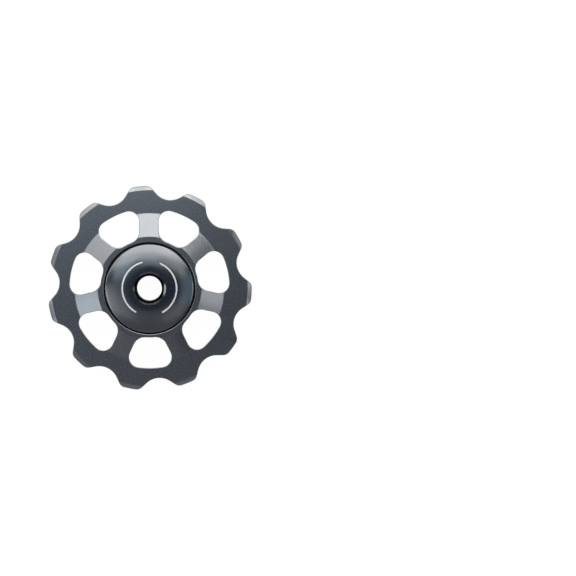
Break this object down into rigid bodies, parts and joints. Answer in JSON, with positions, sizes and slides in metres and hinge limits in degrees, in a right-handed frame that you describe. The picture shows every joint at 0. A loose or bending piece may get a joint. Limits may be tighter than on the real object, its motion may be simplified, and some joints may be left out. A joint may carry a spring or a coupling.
{
  "type": "derailleur jockey wheel",
  "caption": "Toothed bicycle derailleur pulley with open spokes, turning on a sealed ball bearing held between domed caps.",
  "frame": {"origin": "on the axle's axis, midway between the two sides of the wheel", "axes": "+Z along the axle and out of the front cap, +X through the middle of one tooth and one spoke"},
  "size_m": [0.0417, 0.0422, 0.008],
  "materials": {
    "anodised_grey": "satin anodised",
    "anodised_black": "gloss anodised",
    "sleeve_alloy": "turned",
    "bearing_steel": "ground",
    "ball_steel": "polished",
    "cage_nylon": "moulded",
    "seal_rubber": "matt",
    "print_white": "pad print"
  },
  "bodies": {
    "axle_core": {"front_cap": "anodised_black", "rear_cap": "anodised_black", "axle_sleeve": "sleeve_alloy", "inner_race": "bearing_steel"},
    "wheel": {"sprocket": "anodised_grey", "outer_race": "bearing_steel", "front_seal": "seal_rubber", "rear_seal": "seal_rubber"},
    "cage": {"ball_cage": "cage_nylon"},
    "ball_01": {"ball_01": "ball_steel"},
    "ball_02": {"ball_02": "ball_steel"},
    "ball_03": {"ball_03": "ball_steel"},
    "ball_04": {"ball_04": "ball_steel"},
    "ball_05": {"ball_05": "ball_steel"},
    "ball_06": {"ball_06": "ball_steel"},
    "ball_07": {"ball_07": "ball_steel"},
    "ball_08": {"ball_08": "ball_steel"},
    "ball_09": {"ball_09": "ball_steel"},
    "ball_10": {"ball_10": "ball_steel"}
  },
  "joints": [
    {"name": "wheel_spin", "type": "hinge", "parent": "axle_core", "child": "wheel", "pos_m": [0, 0, 0], "axis": [0, 0, 1], "continuous": true},
    {"name": "cage_spin", "type": "hinge", "parent": "axle_core", "child": "cage", "pos_m": [0, 0, 0], "axis": [0, 0, 1], "continuous": true},
    {"name": "ball_01_spin", "type": "hinge", "parent": "cage", "child": "ball_01", "pos_m": [0.00725, 0, 0], "axis": [0, 0, 1], "continuous": true},
    {"name": "ball_02_spin", "type": "hinge", "parent": "cage", "child": "ball_02", "pos_m": [0.00587, 0.00426, 0], "axis": [0, 0, 1], "continuous": true},
    {"name": "ball_03_spin", "type": "hinge", "parent": "cage", "child": "ball_03", "pos_m": [0.00224, 0.0069, 0], "axis": [0, 0, 1], "continuous": true},
    {"name": "ball_04_spin", "type": "hinge", "parent": "cage", "child": "ball_04", "pos_m": [-0.00224, 0.0069, 0], "axis": [0, 0, 1], "continuous": true},
    {"name": "ball_05_spin", "type": "hinge", "parent": "cage", "child": "ball_05", "pos_m": [-0.00587, 0.00426, 0], "axis": [0, 0, 1], "continuous": true},
    {"name": "ball_06_spin", "type": "hinge", "parent": "cage", "child": "ball_06", "pos_m": [-0.00725, 0, 0], "axis": [0, 0, 1], "continuous": true},
    {"name": "ball_07_spin", "type": "hinge", "parent": "cage", "child": "ball_07", "pos_m": [-0.00587, -0.00426, 0], "axis": [0, 0, 1], "continuous": true},
    {"name": "ball_08_spin", "type": "hinge", "parent": "cage", "child": "ball_08", "pos_m": [-0.00224, -0.0069, 0], "axis": [0, 0, 1], "continuous": true},
    {"name": "ball_09_spin", "type": "hinge", "parent": "cage", "child": "ball_09", "pos_m": [0.00224, -0.0069, 0], "axis": [0, 0, 1], "continuous": true},
    {"name": "ball_10_spin", "type": "hinge", "parent": "cage", "child": "ball_10", "pos_m": [0.00587, -0.00426, 0], "axis": [0, 0, 1], "continuous": true}
  ],
  "couplings": [
    {"joint": "cage_spin", "follows": "wheel_spin", "ratio": 0.5821},
    {"joint": "ball_01_spin", "follows": "wheel_spin", "ratio": 2.9628},
    {"joint": "ball_02_spin", "follows": "wheel_spin", "ratio": 2.9628},
    {"joint": "ball_03_spin", "follows": "wheel_spin", "ratio": 2.9628},
    {"joint": "ball_04_spin", "follows": "wheel_spin", "ratio": 2.9628},
    {"joint": "ball_05_spin", "follows": "wheel_spin", "ratio": 2.9628},
    {"joint": "ball_06_spin", "follows": "wheel_spin", "ratio": 2.9628},
    {"joint": "ball_07_spin", "follows": "wheel_spin", "ratio": 2.9628},
    {"joint": "ball_08_spin", "follows": "wheel_spin", "ratio": 2.9628},
    {"joint": "ball_09_spin", "follows": "wheel_spin", "ratio": 2.9628},
    {"joint": "ball_10_spin", "follows": "wheel_spin", "ratio": 2.9628}
  ]
}
